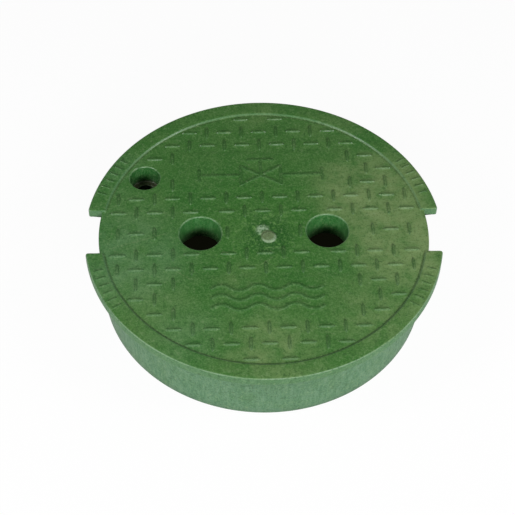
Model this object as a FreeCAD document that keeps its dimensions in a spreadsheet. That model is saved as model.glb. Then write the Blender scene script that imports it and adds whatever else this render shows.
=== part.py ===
import FreeCAD, Part
import math
import os

import Sketcher

# A round cover for an underground valve box, moulded in one piece: a tread plate inside a raised rim,
# an overhanging lip with two pry notches, a skirt that drops into the box, two finger holes and one recessed
# hole for a hold-down bolt. Z is up, the skirt stands on z = 0 and the finger holes lie along X.

SIZES = [
    ("skirt_radius", 119.0, "outside of the skirt"),
    ("skirt_wall", 4.0, "skirt wall at its lower edge"),
    ("skirt_taper", 1.0, "how much thicker the skirt is under the plate"),
    ("overall_height", 58.5, "lower edge of the skirt to the top of the rim"),
    ("lip_overhang", 11.0, "how far the lip stands out past the skirt"),
    ("lip_thickness", 7.0, "top of the rim to the underside of the lip"),
    ("lip_top_round", 1.2, "upper outer edge of the lip"),
    ("lip_under_round", 0.4, "lower outer edge of the lip"),
    ("rim_band", 12.0, "width of the flat rim, measured in from the lip's edge"),
    ("rim_rise", 1.5, "rim above the plate"),
    ("rim_slope_run", 1.4, "width of the slope from the rim down to the plate"),
    ("rim_round", 0.5, "rounding along the top of that slope"),
    ("plate_thickness", 5.0, "tread plate"),
    ("notch_width", 39.5, "pry notch, along the lip"),
    ("notch_turn", -1.15, "degrees that the pair of notches is turned from the X axis"),
    ("notch_flare", 1.4, "bevel on the outer corners of a notch, seen from above"),
    ("notch_step", 0.8, "how far the back of a notch stands out past the skirt"),
    ("finger_radius", 15.2, "finger hole"),
    ("finger_spacing", 92.4, "between the centres of the finger holes"),
    ("finger_round", 1.5, "upper edge of a finger hole"),
    ("finger_tube_wall", 3.0, "tube that lines a finger hole"),
    ("finger_tube_depth", 22.0, "top of the plate to the lower end of the tube"),
    ("bolt_inset", 16.6, "skirt's outside to the bolt's axis"),
    ("bolt_angle", 147.8, "degrees from the X axis to the bolt"),
    ("bolt_recess_radius", 11.1, "recess for the bolt's head"),
    ("bolt_recess_depth", 16.0, "top of the plate to the ledge under the head"),
    ("bolt_ledge", 6.0, "thickness of that ledge"),
    ("bolt_hole_radius", 7.2, "hole through the ledge"),
    ("bolt_boss_wall", 3.4, "wall around the recess"),
    ("bolt_round", 1.2, "upper edge of the recess"),
    ("rib_count", 6.0, "radial ribs under the plate"),
    ("rib_thickness", 3.0, "every rib"),
    ("rib_depth", 15.0, "top of the plate to the lower edge of the ribs"),
    ("hub_rib_radius", 20.0, "middle of the small ring rib"),
    ("ring_rib_radius", 80.0, "middle of the large ring rib"),
    ("tread_pitch", 13.23, "between neighbouring lugs"),
    ("lug_length", 11.8, "lug, where it meets the plate"),
    ("lug_width", 2.7, "lug, where it meets the plate"),
    ("lug_height", 1.25, "crown of a lug above the plate"),
    ("lug_shoulder", 8.0, "length of a lug's widest part"),
    ("lug_flank", 0.9, "width of a lug's sloped flank, seen from above"),
    ("relief_sink", 0.8, "how far lugs and raised lines are set into the surface under them"),
    ("lug_rim_gap", 0.6, "lug to the foot of the rim"),
    ("lug_hole_gap", 0.9, "lug to the rounded edge of a hole"),
    ("gate_clear_radius", 14.0, "plain ring around the gate mark"),
    ("panel_half_width", 62.0, "plain panel for a symbol, along X"),
    ("panel_half_height", 19.5, "plain panel for a symbol, along Y"),
    ("panel_offset", 59.5, "centre of the cover to the centre of a panel"),
    ("stroke_width", 2.3, "raised line of a symbol, where it meets the plate"),
    ("stroke_height", 0.5, "raised line of a symbol above the plate"),
    ("valve_half_length", 15.0, "half of the valve symbol's body"),
    ("valve_half_height", 9.0, "half of the valve symbol's height"),
    ("valve_drop", 4.5, "valve symbol's pipe below the middle of its panel"),
    ("valve_stem", 15.5, "valve symbol's pipe to its handle"),
    ("valve_handle", 18.0, "length of the handle"),
    ("pipe_reach", 46.0, "middle of the panel to the pipe's end"),
    ("pipe_end_height", 10.0, "cross line at the pipe's end"),
    ("wave_count", 3.0, "waves, one above the other"),
    ("wave_spacing", 8.5, "between waves"),
    ("wave_half_turns", 6.0, "arcs in one wave"),
    ("wave_chord", 13.0, "length of one arc, straight across"),
    ("wave_slope", 42.0, "degrees at which a wave crosses its middle line"),
    ("tick_count", 6.0, "short lines in one group on the rim"),
    ("tick_length", 5.6, "one short line, in the direction of the radius"),
    ("tick_width", 1.6, "one short line, where it meets the rim"),
    ("tick_height", 0.4, "one short line above the rim"),
    ("tick_step", 3.2, "degrees between short lines"),
    ("tick_start", 17.0, "degrees from the notches' axis to the first short line"),
    ("gate_pad_radius", 4.6, "round pad left by the mould's gate"),
    ("gate_pad_height", 0.6, "pad above the plate"),
    ("gate_stub_radius", 5.0, "stub beside the pad"),
    ("gate_stub_height", 1.3, "stub above the plate"),
    ("gate_stub_x", 3.2, "stub from the centre, along X"),
    ("gate_stub_y", -4.8, "stub from the centre, along Y"),
]

TOLERANCE = 1e-4

doc = FreeCAD.newDocument("valve_box_cover")
sheet = doc.addObject("Spreadsheet::Sheet", "sizes")
for row, (alias, value, note) in enumerate(SIZES, 1):
    sheet.set(f"A{row}", alias)
    sheet.set(f"B{row}", str(value))
    sheet.set(f"C{row}", note)
    sheet.setAlias(f"B{row}", alias)
doc.recompute()


def size(alias):
    return float(sheet.get(alias))


# Expressions that several features share, written with the sheet's own names.
PLATE_TOP = "(sizes.overall_height - sizes.rim_rise)"
PLATE_UNDER = f"({PLATE_TOP} - sizes.plate_thickness)"
PLATE_MIDDLE = f"({PLATE_TOP} - sizes.plate_thickness / 2)"
LIP_UNDER = "(sizes.overall_height - sizes.lip_thickness)"
LIP_RADIUS = "(sizes.skirt_radius + sizes.lip_overhang)"
RIM_TOP_RADIUS = f"({LIP_RADIUS} - sizes.rim_band)"
RIM_FOOT_RADIUS = f"({RIM_TOP_RADIUS} - sizes.rim_slope_run)"
SKIRT_INSIDE = "(sizes.skirt_radius - sizes.skirt_wall)"
SKIRT_INSIDE_TOP = f"({SKIRT_INSIDE} - sizes.skirt_taper)"
BOLT_REACH = "(sizes.skirt_radius - sizes.bolt_inset)"
BOLT_X = f"({BOLT_REACH} * cos(sizes.bolt_angle * 1deg))"
BOLT_Y = f"({BOLT_REACH} * sin(sizes.bolt_angle * 1deg))"

# The same values as plain numbers, for the lugs and symbols below.
plate_top = size("overall_height") - size("rim_rise")
lip_radius = size("skirt_radius") + size("lip_overhang")
rim_foot_radius = lip_radius - size("rim_band") - size("rim_slope_run")
bolt_reach = size("skirt_radius") - size("bolt_inset")
bolt_angle = math.radians(size("bolt_angle"))
bolt_centre = FreeCAD.Vector(bolt_reach * math.cos(bolt_angle), bolt_reach * math.sin(bolt_angle), 0)
finger_centres = [FreeCAD.Vector(side * size("finger_spacing") / 2, 0, 0) for side in (-1, 1)]

moulding = doc.addObject("PartDesign::Body", "moulding")


def origin(role):
    return next(feature for feature in moulding.Origin.OriginFeatures if feature.Role == role)


def new_sketch(name, plane="XY_Plane", height=None):
    sketch = moulding.newObject("Sketcher::SketchObject", name)
    sketch.AttachmentSupport = [(origin(plane), "")]
    sketch.MapMode = "FlatFace"
    if height:
        sketch.setExpression("AttachmentOffset.Base.z", height)
    return sketch


def bind(sketch, kind, first, expression, name):
    """Adds a dimension to the sketch and ties it to the sheet."""
    value = float(sketch.evalExpression(expression))
    index = sketch.addConstraint(Sketcher.Constraint(kind, *first, value))
    sketch.renameConstraint(index, name)
    sketch.setExpression(f"Constraints.{name}", expression)


def circle(sketch, name, radius, x=None, y=None, start=(0.0, 0.0)):
    """A circle with its radius and centre tied to the sheet. start is a first guess of the centre."""
    centre = FreeCAD.Vector(start[0], start[1], 0)
    index = sketch.addGeometry(Part.Circle(centre, FreeCAD.Vector(0, 0, 1), 1.0), False)
    bind(sketch, "Radius", (index,), radius, f"{name}_radius")
    if x is None and y is None:
        sketch.addConstraint(Sketcher.Constraint("Coincident", index, 3, -1, 1))
        return
    bind(sketch, "DistanceX", (-1, 1, index, 3), x, f"{name}_x")
    if y is None:
        sketch.addConstraint(Sketcher.Constraint("PointOnObject", index, 3, -1))
    else:
        bind(sketch, "DistanceY", (-1, 1, index, 3), y, f"{name}_y")


def outline(sketch, corners):
    """Straight lines through the corners, each an (x, y) pair of expressions, with None on an axis."""
    first_guess = [FreeCAD.Vector(*turn, 0) for turn in unit_ring(len(corners))]
    for i in range(len(corners)):
        sketch.addGeometry(Part.LineSegment(first_guess[i], first_guess[(i + 1) % len(corners)]), False)
    for i, (x, y) in enumerate(corners):
        sketch.addConstraint(Sketcher.Constraint("Coincident", i - 1 if i else len(corners) - 1, 2, i, 1))
        if x is None:
            sketch.addConstraint(Sketcher.Constraint("PointOnObject", i, 1, -2))
        else:
            bind(sketch, "DistanceX", (-1, 1, i, 1), x, f"x{i}")
        if y is None:
            sketch.addConstraint(Sketcher.Constraint("PointOnObject", i, 1, -1))
        else:
            bind(sketch, "DistanceY", (-1, 1, i, 1), y, f"y{i}")


def unit_ring(count):
    return [(math.cos(2 * math.pi * i / count), math.sin(2 * math.pi * i / count)) for i in range(count)]


def pad(name, sketch, length):
    feature = moulding.newObject("PartDesign::Pad", name)
    feature.Profile = sketch
    feature.setExpression("Length", length)
    doc.recompute()
    return feature


def pocket(name, sketch, length=None):
    """Cuts downwards from the sketch, right through where no length is given."""
    before = moulding.Shape.Volume
    feature = moulding.newObject("PartDesign::Pocket", name)
    feature.Profile = sketch
    if length:
        feature.Type = "Length"
        feature.setExpression("Length", length)
    else:
        feature.Type = "ThroughAll"
    doc.recompute()
    if moulding.Shape.Volume > before - TOLERANCE:
        raise RuntimeError(f"{name} cuts nothing")
    return feature


def repeat(name, feature, count):
    pattern = moulding.newObject("PartDesign::PolarPattern", name)
    pattern.Originals = [feature]
    pattern.Axis = (origin("Z_Axis"), [""])
    pattern.Angle = 360
    pattern.setExpression("Occurrences", count)
    moulding.Tip = pattern
    doc.recompute()
    return pattern


def circles_at(radius, height):
    """Names of the body's circular edges with this radius at this height."""
    names = []
    for number, edge in enumerate(moulding.Shape.Edges, 1):
        curve = edge.Curve
        if curve.TypeId != "Part::GeomCircle":
            continue
        if abs(curve.Radius - radius) < TOLERANCE and abs(curve.Center.z - height) < TOLERANCE:
            names.append(f"Edge{number}")
    return names


def fillet(name, edges, radius):
    base = moulding.Tip
    feature = moulding.newObject("PartDesign::Fillet", name)
    feature.Base = (base, edges)
    feature.setExpression("Radius", radius)
    doc.recompute()
    return feature


# Skirt, lip, rim and plate: one section turned about Z.
section = new_sketch("section", "XZ_Plane")
outline(section, [
    (None, PLATE_TOP),
    (RIM_FOOT_RADIUS, PLATE_TOP),
    (RIM_TOP_RADIUS, "sizes.overall_height"),
    (LIP_RADIUS, "sizes.overall_height"),
    (LIP_RADIUS, LIP_UNDER),
    ("sizes.skirt_radius", LIP_UNDER),
    ("sizes.skirt_radius", None),
    (SKIRT_INSIDE, None),
    (SKIRT_INSIDE_TOP, PLATE_UNDER),
    (None, PLATE_UNDER),
])
wall = moulding.newObject("PartDesign::Revolution", "wall")
wall.Profile = section
wall.ReferenceAxis = (section, ["V_Axis"])
wall.Angle = 360
doc.recompute()
fillet("lip_top_edge", circles_at(lip_radius, size("overall_height")), "sizes.lip_top_round")
lip_under = size("overall_height") - size("lip_thickness")
fillet("lip_under_edge", circles_at(lip_radius, lip_under), "sizes.lip_under_round")
rim_edge = circles_at(lip_radius - size("rim_band"), size("overall_height"))
fillet("rim_edge", rim_edge, "sizes.rim_round")

# Tubes that line the finger holes, and the boss around the bolt's recess.
FINGER_X = "sizes.finger_spacing / 2"
TUBE_END = f"({PLATE_TOP} - sizes.finger_tube_depth)"
tube_section = new_sketch("finger_tube_section", height=TUBE_END)
for side, sign in (("left", -1), ("right", 1)):
    radius = "sizes.finger_radius + sizes.finger_tube_wall"
    circle(tube_section, side, radius, f"{sign} * {FINGER_X}", start=(sign * 20.0, 0.0))
pad("finger_tubes", tube_section, f"{PLATE_MIDDLE} - {TUBE_END}")

BOSS_END = f"({PLATE_TOP} - sizes.bolt_recess_depth - sizes.bolt_ledge)"
boss_section = new_sketch("bolt_boss_section", height=BOSS_END)
boss_radius = "sizes.bolt_recess_radius + sizes.bolt_boss_wall"
circle(boss_section, "boss", boss_radius, BOLT_X, BOLT_Y, start=(-20.0, 10.0))
pad("bolt_boss", boss_section, f"{PLATE_MIDDLE} - {BOSS_END}")

# Ribs under the plate: two rings and a set of spokes between them and the skirt.
RIB_END = f"({PLATE_TOP} - sizes.rib_depth)"
RIB_RISE = f"{PLATE_MIDDLE} - {RIB_END}"
for ring in ("hub", "ring"):
    ring_section = new_sketch(f"{ring}_rib_section", height=RIB_END)
    circle(ring_section, "outer", f"sizes.{ring}_rib_radius + sizes.rib_thickness / 2")
    circle(ring_section, "inner", f"sizes.{ring}_rib_radius - sizes.rib_thickness / 2")
    pad(f"{ring}_rib", ring_section, RIB_RISE)
spoke_section = new_sketch("spoke_section", height=RIB_END)
SPOKE_END = f"{SKIRT_INSIDE} + sizes.skirt_wall / 4"
outline(spoke_section, [
    ("sizes.hub_rib_radius", "-sizes.rib_thickness / 2"),
    (SPOKE_END, "-sizes.rib_thickness / 2"),
    (SPOKE_END, "sizes.rib_thickness / 2"),
    ("sizes.hub_rib_radius", "sizes.rib_thickness / 2"),
])
spoke = pad("spoke", spoke_section, RIB_RISE)
repeat("spokes", spoke, "sizes.rib_count")

# Finger holes and the stepped bolt hole, cut from the top of the plate.
finger_section = new_sketch("finger_section", height=PLATE_TOP)
for side, sign in (("left", -1), ("right", 1)):
    circle(finger_section, side, "sizes.finger_radius", f"{sign} * {FINGER_X}", start=(sign * 20.0, 0.0))
pocket("finger_holes", finger_section)
recess_section = new_sketch("bolt_recess_section", height=PLATE_TOP)
circle(recess_section, "recess", "sizes.bolt_recess_radius", BOLT_X, BOLT_Y, start=(-20.0, 10.0))
pocket("bolt_recess", recess_section, "sizes.bolt_recess_depth")
bolt_section = new_sketch("bolt_section", height=PLATE_TOP)
circle(bolt_section, "bolt", "sizes.bolt_hole_radius", BOLT_X, BOLT_Y, start=(-20.0, 10.0))
pocket("bolt_hole", bolt_section)
fillet("finger_edges", circles_at(size("finger_radius"), plate_top), "sizes.finger_round")
fillet("bolt_edge", circles_at(size("bolt_recess_radius"), plate_top), "sizes.bolt_round")

# Pry notches: the rim is levelled and the lip cut back almost to the skirt, at both ends of a line across.
NOTCH_HALF = "sizes.notch_width / 2"
NOTCH_BACK = "(sizes.skirt_radius + sizes.notch_step)"
NOTCH_OUT = f"({LIP_RADIUS} + sizes.lip_overhang)"
NOTCH_FLARE_X = f"(sqrt({LIP_RADIUS} ^ 2 - ({NOTCH_HALF}) ^ 2) - sizes.notch_flare)"
NOTCH_MOUTH = f"({NOTCH_HALF} + {NOTCH_OUT} - {NOTCH_FLARE_X})"
NOTCH_IN = f"({RIM_FOOT_RADIUS} - sizes.rim_band)"
gap_section = new_sketch("rim_gap_section", height="sizes.overall_height")
gap_section.setExpression("AttachmentOffset.Rotation.Angle", "sizes.notch_turn * 1deg")
outline(gap_section, [
    (NOTCH_IN, f"-{NOTCH_HALF}"),
    (NOTCH_OUT, f"-{NOTCH_HALF}"),
    (NOTCH_OUT, NOTCH_HALF),
    (NOTCH_IN, NOTCH_HALF),
])
rim_gap = pocket("rim_gap", gap_section, "sizes.rim_rise")
repeat("rim_gaps", rim_gap, "2")

notch_section = new_sketch("notch_section", height="sizes.overall_height")
notch_section.setExpression("AttachmentOffset.Rotation.Angle", "sizes.notch_turn * 1deg")
half_width = size("notch_width") / 2
back_radius = size("skirt_radius") + size("notch_step")
corner_x = math.sqrt(back_radius ** 2 - half_width ** 2)
lower_corner = FreeCAD.Vector(corner_x, -half_width, 0)
upper_corner = FreeCAD.Vector(corner_x, half_width, 0)
back_arc = Part.Arc(lower_corner, FreeCAD.Vector(back_radius, 0, 0), upper_corner)
back = notch_section.addGeometry(back_arc, False)
mouth = [
    (NOTCH_FLARE_X, NOTCH_HALF),
    (NOTCH_OUT, NOTCH_MOUTH),
    (NOTCH_OUT, f"-{NOTCH_MOUTH}"),
    (NOTCH_FLARE_X, f"-{NOTCH_HALF}"),
]
points = [[float(notch_section.evalExpression(value)) for value in corner] for corner in mouth]
stations = [upper_corner] + [FreeCAD.Vector(x, y, 0) for x, y in points] + [lower_corner]
for start, end in zip(stations, stations[1:]):
    notch_section.addGeometry(Part.LineSegment(start, end), False)
last_line = back + len(mouth) + 1
notch_section.addConstraint(Sketcher.Constraint("Coincident", back, 3, -1, 1))
notch_section.addConstraint(Sketcher.Constraint("Coincident", back, 2, back + 1, 1))
notch_section.addConstraint(Sketcher.Constraint("Coincident", back, 1, last_line, 2))
for line, (x, y) in enumerate(mouth, back + 1):
    notch_section.addConstraint(Sketcher.Constraint("Coincident", line, 2, line + 1, 1))
    bind(notch_section, "DistanceX", (-1, 1, line, 2), x, f"x{line}")
    bind(notch_section, "DistanceY", (-1, 1, line, 2), y, f"y{line}")
for line in (back + 1, last_line):
    notch_section.addConstraint(Sketcher.Constraint("Horizontal", line))
bind(notch_section, "Radius", (back,), NOTCH_BACK, "back_radius")
notch = pocket("notch", notch_section)
repeat("notches", notch, "2")

# The mark that the mould's gate leaves at the centre: a round pad and a broken stub beside it.
pad_section = new_sketch("gate_pad_section", height=PLATE_MIDDLE)
circle(pad_section, "pad", "sizes.gate_pad_radius")
pad("gate_pad", pad_section, f"{PLATE_TOP} + sizes.gate_pad_height - {PLATE_MIDDLE}")
stub_section = new_sketch("gate_stub_section", height=PLATE_MIDDLE)
stub_place = ("sizes.gate_stub_x", "sizes.gate_stub_y")
circle(stub_section, "stub", "sizes.gate_stub_radius", *stub_place, start=(3.0, -5.0))
pad("gate_stub", stub_section, f"{PLATE_TOP} + sizes.gate_stub_height - {PLATE_MIDDLE}")


def solid_from(points, faces):
    """A closed solid with flat faces, each a list of point numbers."""
    loops = [[points[i] for i in face + face[:1]] for face in faces]
    return Part.Solid(Part.Shell([Part.Face(Part.makePolygon(loop)) for loop in loops]))


def hexagon(tip, shoulder, side, level):
    """Corners of a long hexagon with its points on X."""
    plan = [(-tip, 0), (-shoulder, -side), (shoulder, -side), (tip, 0), (shoulder, side), (-shoulder, side)]
    return [FreeCAD.Vector(x, y, level) for x, y in plan]


def tread_lug():
    """One lug along X with its foot at z = 0: a long hexagon with sloped flanks and a level crown."""
    tip = size("lug_length") / 2
    shoulder = size("lug_shoulder") / 2
    side = size("lug_width") / 2
    flank = size("lug_flank")
    half_point = math.atan2(side, tip - shoulder)
    crown_tip = tip - flank / math.sin(half_point)
    crown_side = side - flank
    crown_shoulder = crown_tip - crown_side / math.tan(half_point)
    points = hexagon(tip, shoulder, side, -size("relief_sink"))
    points += hexagon(tip, shoulder, side, 0)
    points += hexagon(crown_tip, crown_shoulder, crown_side, size("lug_height"))
    ring = [(i, (i + 1) % 6) for i in range(6)]
    walls = [[i + low, j + low, j + low + 6, i + low + 6] for low in (0, 6) for i, j in ring]
    return solid_from(points, walls + [[5, 4, 3, 2, 1, 0], [12, 13, 14, 15, 16, 17]])


def distance_to_box(point, centre, half_x, half_y):
    """From a point to an upright rectangle, 0 inside it."""
    return math.hypot(max(abs(point.x - centre.x) - half_x, 0), max(abs(point.y - centre.y) - half_y, 0))


def lug_fits(centre, along_x):
    """Whether a lug here stays inside the rim and clear of the holes, the gate mark and the panels."""
    half_x = (size("lug_length") if along_x else size("lug_width")) / 2
    half_y = (size("lug_width") if along_x else size("lug_length")) / 2
    tip = FreeCAD.Vector(abs(centre.x) + half_x * along_x, abs(centre.y) + half_y * (not along_x), 0)
    if tip.Length > rim_foot_radius - size("lug_rim_gap"):
        return False
    keep_out = [(bolt_centre, size("bolt_recess_radius") + size("bolt_round"))]
    keep_out += [(finger, size("finger_radius") + size("finger_round")) for finger in finger_centres]
    for hole, radius in keep_out:
        if distance_to_box(hole, centre, half_x, half_y) < radius + size("lug_hole_gap"):
            return False
    if distance_to_box(FreeCAD.Vector(), centre, half_x, half_y) < size("gate_clear_radius"):
        return False
    beside = abs(centre.x) - half_x > size("panel_half_width")
    above_or_below = abs(abs(centre.y) - size("panel_offset")) - half_y > size("panel_half_height")
    return beside or above_or_below


def tread_lugs():
    """Lugs by turns along X and along Y: a row through the centre and mirrored rows on half pitches."""
    pitch = size("tread_pitch")
    upright = FreeCAD.Rotation(FreeCAD.Vector(0, 0, 1), 90)
    lug = tread_lug()
    last = int(rim_foot_radius / pitch)
    rows = [(0, 0.0)] + [(k, sign * (k + 0.5)) for k in range(1, last + 1) for sign in (-1, 1)]
    lugs = []
    for k, row in rows:
        for column in range(-last, last + 1):
            along_x = (column + k) % 2 == 1
            centre = FreeCAD.Vector(column * pitch, row * pitch, 0)
            if not lug_fits(centre, along_x):
                continue
            copy = lug.copy()
            turn = FreeCAD.Rotation() if along_x else upright
            copy.Placement = FreeCAD.Placement(centre + FreeCAD.Vector(0, 0, plate_top), turn)
            lugs.append(copy)
    return lugs


def ridge(start, end, width, height):
    """A straight raised line with square ends, set into the surface under it."""
    run = end - start
    bar = Part.makeBox(run.Length + width, width, height + size("relief_sink"))
    bar.translate(FreeCAD.Vector(-width / 2, -width / 2, -size("relief_sink")))
    turn = FreeCAD.Rotation(FreeCAD.Vector(0, 0, 1), math.degrees(math.atan2(run.y, run.x)))
    bar.Placement = FreeCAD.Placement(start, turn).multiply(bar.Placement)
    return bar


def valve_symbol(centre):
    """Two triangles point to point on a length of pipe, with a stem and a handle above."""
    half_x = size("valve_half_length")
    half_y = size("valve_half_height")
    pipe = size("pipe_reach")
    end = size("pipe_end_height") / 2
    stem = size("valve_stem")
    handle = size("valve_handle") / 2
    lines = [
        (-half_x, -half_y, half_x, half_y),
        (-half_x, half_y, half_x, -half_y),
        (0, 0, 0, stem),
        (-handle, stem, handle, stem),
    ]
    for side in (-1, 1):
        lines.append((side * half_x, -half_y, side * half_x, half_y))
        lines.append((side * half_x, 0, side * pipe, 0))
        lines.append((side * pipe, -end, side * pipe, end))
    ridges = []
    for x0, y0, x1, y1 in lines:
        start = centre + FreeCAD.Vector(x0, y0, 0)
        finish = centre + FreeCAD.Vector(x1, y1, 0)
        ridges.append(ridge(start, finish, size("stroke_width"), size("stroke_height")))
    return ridges[0].multiFuse(ridges[1:])


def wave(centre):
    """A raised wavy line: arcs that bow up and down by turns."""
    count = int(size("wave_half_turns"))
    chord = size("wave_chord")
    slope = size("wave_slope")
    half = size("stroke_width") / 2
    bend = chord / 2 / math.sin(math.radians(slope))
    drop = bend * math.cos(math.radians(slope))
    height = size("stroke_height") + size("relief_sink")
    level = centre - FreeCAD.Vector(0, 0, size("relief_sink"))
    up = FreeCAD.Vector(0, 0, 1)
    arcs = []
    for i in range(count):
        bow = 1 if i % 2 == 0 else -1
        middle = level + FreeCAD.Vector((i + 0.5 - count / 2) * chord, -bow * drop, 0)
        outer = Part.makeCylinder(bend + half, height, middle, up, 2 * slope)
        arc = outer.cut(Part.makeCylinder(bend - half, height, middle, up))
        arc.rotate(middle, up, bow * 90 - slope)
        arcs.append(arc)
    return arcs[0].multiFuse(arcs[1:])


def waves(centre):
    count = int(size("wave_count"))
    steps = [(i - (count - 1) / 2) * size("wave_spacing") for i in range(count)]
    return [wave(centre + FreeCAD.Vector(0, step, 0)) for step in steps]


def rim_ticks():
    """Short radial lines on the rim, in a group on each side of each notch."""
    middle = lip_radius - size("rim_band") / 2
    half = size("tick_length") / 2
    ticks = []
    for side in (0, 180):
        for way in (-1, 1):
            for i in range(int(size("tick_count"))):
                turn = side + size("notch_turn") + way * (size("tick_start") + i * size("tick_step"))
                outwards = FreeCAD.Vector(math.cos(math.radians(turn)), math.sin(math.radians(turn)), 0)
                level = FreeCAD.Vector(0, 0, size("overall_height"))
                start = level + outwards * (middle - half)
                finish = level + outwards * (middle + half)
                ticks.append(ridge(start, finish, size("tick_width"), size("tick_height")))
    return ticks


# The relief that stands on the plate and the rim, then the whole cover as one solid.
lugs = tread_lugs()
relief = lugs + [valve_symbol(FreeCAD.Vector(0, size("panel_offset") - size("valve_drop"), plate_top))]
relief += waves(FreeCAD.Vector(0, -size("panel_offset"), plate_top))
relief += rim_ticks()
tread = doc.addObject("Part::Feature", "tread")
tread.Shape = Part.makeCompound(relief)

cover = doc.addObject("Part::MultiFuse", "valve_box_cover")
cover.Label = "valve_box_cover"
cover.Shapes = [moulding, tread]
cover.Placement = FreeCAD.Placement()
doc.recompute()

for item in doc.Objects:
    if "Invalid" in item.State or "Error" in item.State:
        raise RuntimeError(f"{item.Label} failed: {item.State}")
if cover.Shape.isNull() or not cover.Shape.isValid() or len(cover.Shape.Solids) != 1:
    raise RuntimeError("the cover isn't one sound solid")

os.makedirs("parts", exist_ok=True)
cover.Shape.exportStep(f"parts/{cover.Label}.step")
box = cover.Shape.optimalBoundingBox(False)
print(f"lugs {len(lugs)}, volume {cover.Shape.Volume / 1000:.1f} cm3")
print(f"box {box.XLength:.2f} x {box.YLength:.2f} x {box.ZLength:.2f} mm")
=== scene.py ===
import math

import bpy
import numpy as np
from mathutils import Matrix, Vector
from mathutils.geometry import delaunay_2d_cdt


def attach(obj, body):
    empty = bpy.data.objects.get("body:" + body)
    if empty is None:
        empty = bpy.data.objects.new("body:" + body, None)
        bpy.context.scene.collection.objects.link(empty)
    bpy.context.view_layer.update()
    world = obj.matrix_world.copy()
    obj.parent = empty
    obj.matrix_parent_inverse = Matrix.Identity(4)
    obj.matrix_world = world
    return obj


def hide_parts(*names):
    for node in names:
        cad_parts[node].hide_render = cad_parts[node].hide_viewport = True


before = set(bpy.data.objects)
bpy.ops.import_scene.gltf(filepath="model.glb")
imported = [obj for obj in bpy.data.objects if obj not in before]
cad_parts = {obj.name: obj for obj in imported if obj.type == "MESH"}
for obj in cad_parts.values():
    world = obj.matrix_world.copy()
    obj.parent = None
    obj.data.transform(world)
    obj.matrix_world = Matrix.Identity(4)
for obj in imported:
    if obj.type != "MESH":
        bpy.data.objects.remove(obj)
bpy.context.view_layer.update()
scene = bpy.context.scene
print("stage: frame loaded")

mm = 0.001
tau = 2 * math.pi

# The cover, in millimetres: z up, skirt on z = 0, finger holes along x
cover = {
    "plateTop": 57.0, "plateUnder": 52.0, "skirtR": 119.0, "skirtInside": 115.0, "taper": 1.0, "lipR": 129.96,
    "lipUnder": 51.5, "lipRound": 1.2, "sideRound": 0.8, "backRound": 0.6, "underRound": 0.4,
    "backUnder": 0.3, "fillet": 0.5, "footRound": 0.6, "innerJoin": 112.5, "innerFillet": 1.2,
    "insideRows": (8, 17, 26, 34, 35, 38, 41.8, 42, 46),
}
uneven = {"height": 0.05, "length": 42, "edgeR": 112, "edgeRun": 10, "holeGap": 0.3, "holeRun": 6}
rim = {"foot": 116.6, "slope": 1.4, "rise": 1.5, "knee": 0.16, "columns": 420,
       "loops": (115.9, 116.3, 116.6, 116.9, 117.3, 117.7, 118.0, 118.35),
       "rows": (120.5, 122.5, 125.6, 127.4)}
notch = {"turn": math.radians(-1.15), "half": 19.75, "backR": 119.8, "mouthRound": 1.7, "cornerRound": 1.2,
         "endFrom": 19.6, "endRun": 0.5, "endKnee": 0.12, "stepR": 115.7, "outerR": 121.5, "rowGap": 2.5}
finger = {"r": 15.2, "round": 1.5, "x": 46.2, "wall": 3.0, "end": 35.0, "endRound": 0.5, "count": 96,
          "rows": (52, 48, 44, 40)}
bolt = {"reach": 102.4, "angle": math.radians(147.8), "r": 11.1, "round": 1.2, "ledge": 41.0, "ledgeR": 9.4,
        "hole": 7.2, "holeRound": 0.5, "end": 35.0, "wall": 3.4, "corner": 0.7, "count": 72,
        "rows": (53, 49, 45)}
bolt["x"], bolt["y"] = bolt["reach"] * math.cos(bolt["angle"]), bolt["reach"] * math.sin(bolt["angle"])
bossR = bolt["r"] + bolt["wall"]
lugs = {"pitch": 13.23, "half": 5.9, "side": 1.35, "height": 1.25, "flank": 0.9, "knee": 0.16, "blunt": 5.5,
        "fall": 0.3, "rimGap": 0.6, "holeGap": 0.9, "insets": (-0.18, 0.0, 0.12, 0.3, 0.62, 0.82, 1.0),
        "crest": 0.65, "near": 8, "beyond": 1.1, "tail": 0.008}
panel = {"halfX": 62.0, "halfY": 19.5, "offset": 59.5, "inset": 0.4, "step": 0.07, "edge": 0.35, "knee": 0.1,
         "gateClear": 14.0}
stroke = {"half": 1.25, "edge": 0.5, "height": 0.45, "knee": 0.15, "spacing": 1.2,
          "loops": (1.36, 1.1, 0.85, 0.6, 0.4), "waveLoops": (1.36, 1.1, 0.85, 0.6, 0.3)}
valve = {"y": 55.0, "halfX": 15, "halfY": 9, "stem": 15.5, "handle": 9, "pipe": 46, "flange": 5}
wave = {"chord": 13.0, "slope": math.radians(42), "bows": 6, "gap": 8.5}
tick = {"half": 0.85, "edge": 0.45, "height": 0.38, "knee": 0.15, "length": 5.6, "count": 6, "step": 3.2,
        "start": 17.0, "r": 124.0, "spacing": 0.9, "loops": (0.95, 0.75, 0.55, 0.4)}
gate = {"padX": -1.0, "padY": 1.6, "padR": 4.7, "padHeight": 0.6, "stubX": 3.3, "stubY": -5.2, "stubR": 5.5,
        "stubHeight": 1.25, "edge": 0.9, "knee": 0.2, "reach": 13,
        "padRings": (0.6, 1.2, 1.8, 2.4, 3.0, 3.5, 4.0, 4.5, 5.0, 5.6),
        "stubRings": (0.8, 1.6, 2.4, 3.1, 3.7, 4.2, 4.6, 5.0, 5.4, 5.8)}
rib = {"half": 1.5, "draft": 0.15, "depth": 10.0, "rings": (20.0, 80.0), "spokes": 6}


# Hole circles as x, y, radius: both finger holes, then the bolt hole
def holeCircles(fingerR, boltR):
    return [(s * finger["x"], 0, fingerR) for s in (-1, 1)] + [(bolt["x"], bolt["y"], boltR)]


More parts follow.
